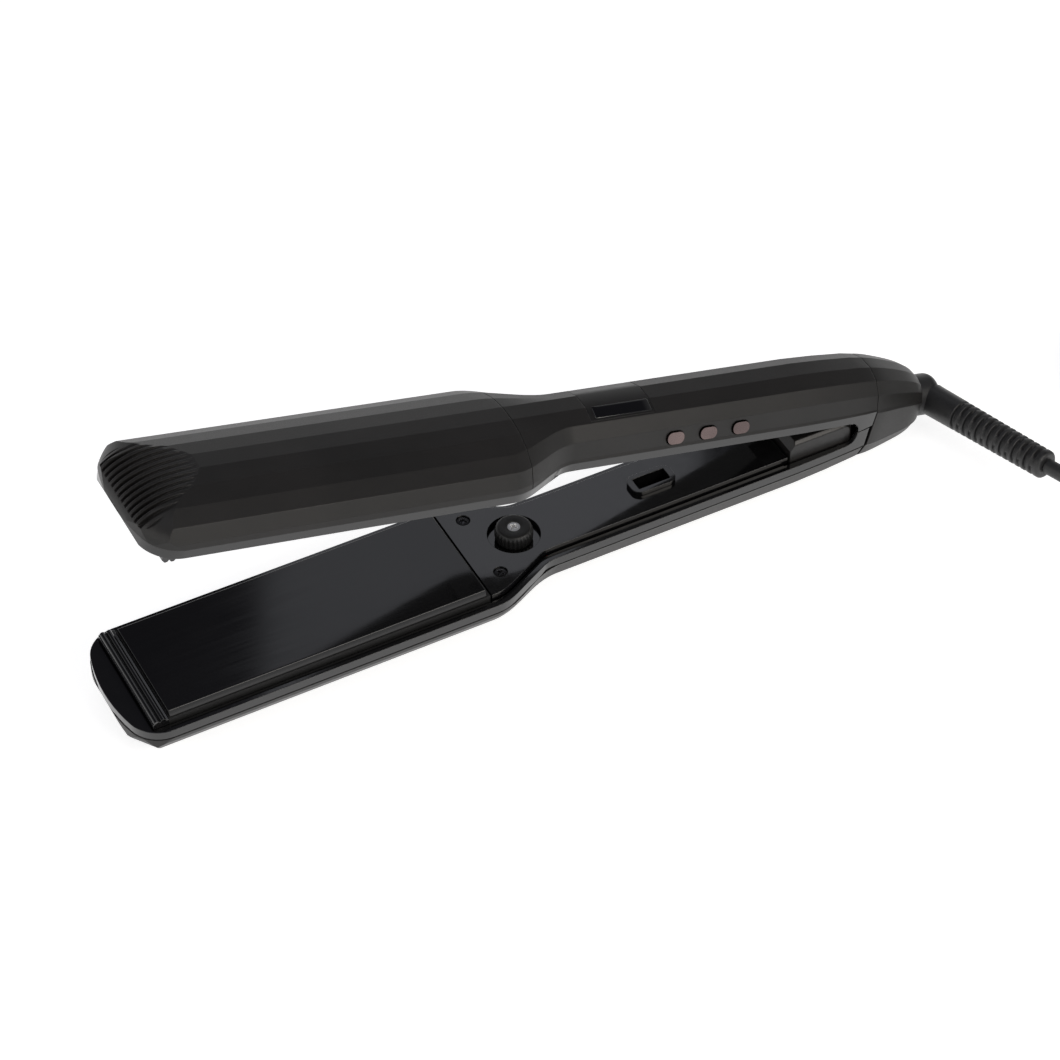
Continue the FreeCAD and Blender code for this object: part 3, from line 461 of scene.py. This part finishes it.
def add_sleeve():
    """Rings along the sleeve, then two smaller ones that close its mouth round the cord."""
    sideways = math.sin(SLEEVE_ANGLE)
    way = Vector((math.cos(SLEEVE_ANGLE), -sideways * math.cos(SLEEVE_ROLL),
                  sideways * math.sin(SLEEVE_ROLL)))
    side = way.orthogonal().normalized()
    other = way.cross(side)
    turns = [2 * math.pi * j / SLEEVE_SIDES for j in range(SLEEVE_SIDES)]

    def ring(along, radii):
        centre = Vector((SLEEVE_X, 0, 0)) + way * along
        return [upper_place(*(centre + (side * math.cos(turn) + other * math.sin(turn)) * radius))
                for turn, radius in zip(turns, radii)]

    rows = []
    for i in range(SLEEVE_RINGS + 1):
        along = SLEEVE_ROOT + (SLEEVE_LENGTH - SLEEVE_ROOT) * i / SLEEVE_RINGS
        rows.append(ring(along, [sleeve_radius(along, turn) for turn in turns]))
    for radius in (3.2, 2.75):
        rows.append(ring(SLEEVE_LENGTH, [radius] * SLEEVE_SIDES))
    mesh = grid_mesh("sleeve", rows, cap_start=True, cap_end=True)
    new_piece("cord_sleeve_ribbed", mesh, "cord", "swivel", "cord_sleeve")


# ------------------------------------------------------------------ knob and screws

# Millimetres, in the closing plane's coordinates.
SCREW_RINGS = 34
SCREW_SIDES = 72
CROSS_DEPTH = 0.75
HEAD_DEPTH = 0.9
HEAD_BAND = 0.6
HEAD_DROP = 1.0
SCREW_EDGE_ANGLE = math.radians(50)
PANEL_SCREWS = [(118.6, -13, 2.45), (118.6, 13, 2.45)]
KNOB_X = 130.2
KNOB_SIDES = 224
KNURLS = 28
KNURL_DEPTH = 0.42
# Radius, height and share of the knurl's depth, from the screw hole outward and down the rim.
KNOB_PROFILE = [(1.5, -0.2, 0), (2.1, -0.9, 0), (2.2, -1.42, 0), (2.4, -1.5, 0), (4.7, -1.5, 0),
                (5.25, -1.4, 0), (5.6, -1.1, 0), (5.8, -0.8, 0.2), (6.05, -0.5, 0.7), (6.22, -0.1, 1),
                (6.25, 0.6, 1), (6.25, 2.6, 1), (6.1, 3.3, 0.8), (5.8, 3.7, 0.2), (3.0, 3.7, 0)]


def cross_depth(x, y, reach, arm):
    """How deep a cross recess is at a point of a screw head, from 0 to 1."""
    depth = 0.0
    for a, b in ((x, y), (y, x)):
        across = min(1.0, max(0.0, (arm - abs(a)) / (0.35 * arm)))
        along = min(1.0, max(0.0, (reach - abs(b)) / (0.25 * reach)))
        depth = max(depth, across * along)
    return depth


def screw_head(shape, place, centre, radius, dome, turn):
    """Add a domed head with a cross recess to a mesh being built; the head faces the closing plane.

    The last ring is the foot of the head's side. The first one is nearly a point.
    """
    rows = []
    for i in range(SCREW_RINGS + 2):
        distance = radius * min(1.0, (i + 0.02) / (SCREW_RINGS + 0.02))
        row = []
        for j in range(SCREW_SIDES):
            angle = 2 * math.pi * j / SCREW_SIDES
            x, y = distance * math.cos(angle), distance * math.sin(angle)
            u = x * math.cos(turn) + y * math.sin(turn)
            v = -x * math.sin(turn) + y * math.cos(turn)
            height = dome * (1 - (distance / radius) ** 2)
            height -= CROSS_DEPTH * cross_depth(u, v, radius * 0.68, radius * 0.2)
            if i > SCREW_RINGS:
                height = -HEAD_DEPTH
            row.append(shape.verts.new(place(centre[0] + x, centre[1] + y, centre[2] - height)))
        rows.append(row)
    for before, after in zip(rows, rows[1:]):
        for j in range(SCREW_SIDES):
            k = (j + 1) % SCREW_SIDES
            shape.faces.new((before[j], before[k], after[k], after[j]))
    shape.faces.new(rows[0])


def add_screws(node, place, centres, radius, dome, material):
    """The CAD screws with their heads lowered a little, under new heads with cross recesses."""
    mesh = NODES[node].data.copy()
    if mesh.attributes.get("custom_normal"):
        mesh.attributes.remove(mesh.attributes["custom_normal"])
    shape = bmesh.new()
    shape.from_mesh(mesh)
    top = place(centres[0][0], centres[0][1], centres[0][2])
    out = (top - place(centres[0][0], centres[0][1], centres[0][2] + 1)).normalized()
    for vertex in shape.verts:
        rise = (vertex.co - top).dot(out)
        if rise > -HEAD_BAND * MM:
            vertex.co -= out * (rise + HEAD_DROP * MM)
    for centre in centres:
        screw_head(shape, place, centre, radius, dome, turn=0.9 if centre[1] > 0 else 0.5)
    bmesh.ops.recalc_face_normals(shape, faces=shape.faces)
    for face in shape.faces:
        face.smooth = True
    for edge in shape.edges:
        edge.smooth = len(edge.link_faces) == 2 and edge.calc_face_angle(0) < SCREW_EDGE_ANGLE
    shape.to_mesh(mesh)
    shape.free()
    new_piece(node + "_finish", mesh, material, BODY_OF[node], node)


def add_knob():
    """A dished top round the screw, a flat ring and a knurled rim."""
    rows = []
    for radius, height, knurl in KNOB_PROFILE:
        row = []
        for j in range(KNOB_SIDES):
            angle = 2 * math.pi * j / KNOB_SIDES
            tooth = 0.5 - 0.5 * math.cos(KNURLS * angle)
            reach = radius - KNURL_DEPTH * knurl * tooth ** 0.6
            row.append(lower_place(KNOB_X + reach * math.cos(angle), reach * math.sin(angle), height))
        rows.append(row)
    mesh = grid_mesh("knob", rows)
    shape = bmesh.new()
    shape.from_mesh(mesh)
    bmesh.ops.recalc_face_normals(shape, faces=shape.faces)
    shape.to_mesh(mesh)
    shape.free()
    new_piece("gap_knob_knurled", mesh, "knob", "knob", "gap_knob")
    add_screws("knob_screw", lower_place, [(KNOB_X, 0, -1.2)], 2.05, 0.15, "screw")
    add_screws("lower_panel_screws", lower_place, PANEL_SCREWS, 2.1, 0.3, "dark_screw")
    add_screws("upper_panel_screws", upper_place, PANEL_SCREWS, 2.1, 0.3, "dark_screw")


# ------------------------------------------------------------------ display screen


SCREEN_CENTRE = Vector((158.3, -5.1, 18.95))
SCREEN_LEAN = math.radians(21.6)
HALF_LONG = 10.4
HALF_WIDE = 2.15
CORNER = 0.5


def add_screen():
    """The dark strip of the display, a thin pane on the facet that faces the user."""
    rows = []
    across = Vector((0, -math.cos(SCREEN_LEAN), -math.sin(SCREEN_LEAN)))
    out = Vector((0, -math.sin(SCREEN_LEAN), math.cos(SCREEN_LEAN)))
    outline = []
    for sx, sy, begin in ((1, 1, 0), (-1, 1, 90), (-1, -1, 180), (1, -1, 270)):
        for k in range(6):
            angle = math.radians(begin + 18 * k)
            outline.append((sx * (HALF_LONG - CORNER) + CORNER * math.cos(angle),
                            sy * (HALF_WIDE - CORNER) + CORNER * math.sin(angle)))
    for scale, height in ((1.0, -0.3), (1.0, 0.04), (0.985, 0.09), (0.6, 0.09), (0.01, 0.09)):
        rows.append([upper_place(*(SCREEN_CENTRE + Vector((u * scale, 0, 0)) + across * v * scale
                                   + out * height))
                     for u, v in outline])
    mesh = grid_mesh("screen", rows, cap_end=True)
    new_piece("display_screen", mesh, "screen", "root")


# ------------------------------------------------------------------ build

MATERIALS = make_materials()
add_camera()
add_studio()

for node in ("upper_head_cover", "upper_handle_cover", "lower_head_cover", "lower_handle_cover",
             "rear_cap"):
    faceted(node, "cover")
for node, material, width in (
        ("display_lens", "lens", 0.15),
        ("upper_frame", "gloss", 1.1), ("lower_frame", "gloss", 1.1),
        ("upper_panel", "gloss", 0.45), ("lower_panel", "gloss", 0.45),
        ("upper_plate", "plate", 0.35), ("lower_plate", "plate", 0.35),
        ("upper_tip_bar", "gloss", 0.2), ("lower_tip_bar", "gloss", 0.2),
        ("guide_socket", "gloss", 0.25), ("hinge_block", "lens", 0.6),
        ("swivel_stub", "cord", 0.3), ("knob_seat", "gloss", 0.2),
        ("button_1", "button", 0.5), ("button_2", "button", 0.5), ("button_3", "button", 0.5),
        ("plug_body", "cord", 0.6), ("plug_relief", "cord", 0.5), ("cord_tie", "cord", 0.35),
        ("plug_blade_left", "blade", 0.35), ("plug_blade_right", "blade", 0.35),
        ("guide_peg", "inner", 0.2)):
    softened(node, material, width)

add_cord()
add_sleeve()
add_knob()
add_screen()

INSIDE = {
    "steel": ["hinge_tongue", "hinge_bracket", "hinge_pin", "hinge_spring", "thermal_fuse"],
    "bronze": ["hinge_bushing", "contact_rings"],
    "silicone": ["upper_cushion_front", "upper_cushion_rear", "lower_cushion_front", "lower_cushion_rear"],
    "board": ["main_circuit_board", "button_board"],
    "heater": ["upper_heater", "lower_heater"],
    "wire": ["upper_heater_leads", "lower_heater_leads"],
    "inner": ["upper_plate_carrier", "lower_plate_carrier", "temperature_sensor", "display_module",
              "button_switch_1", "button_switch_2", "button_switch_3"],
}
for material, nodes in INSIDE.items():
    for node in nodes:
        mesh = NODES[node].data
        mesh.materials.clear()
        mesh.materials.append(MATERIALS[material])

bpy.context.scene.view_settings.view_transform = "Standard"
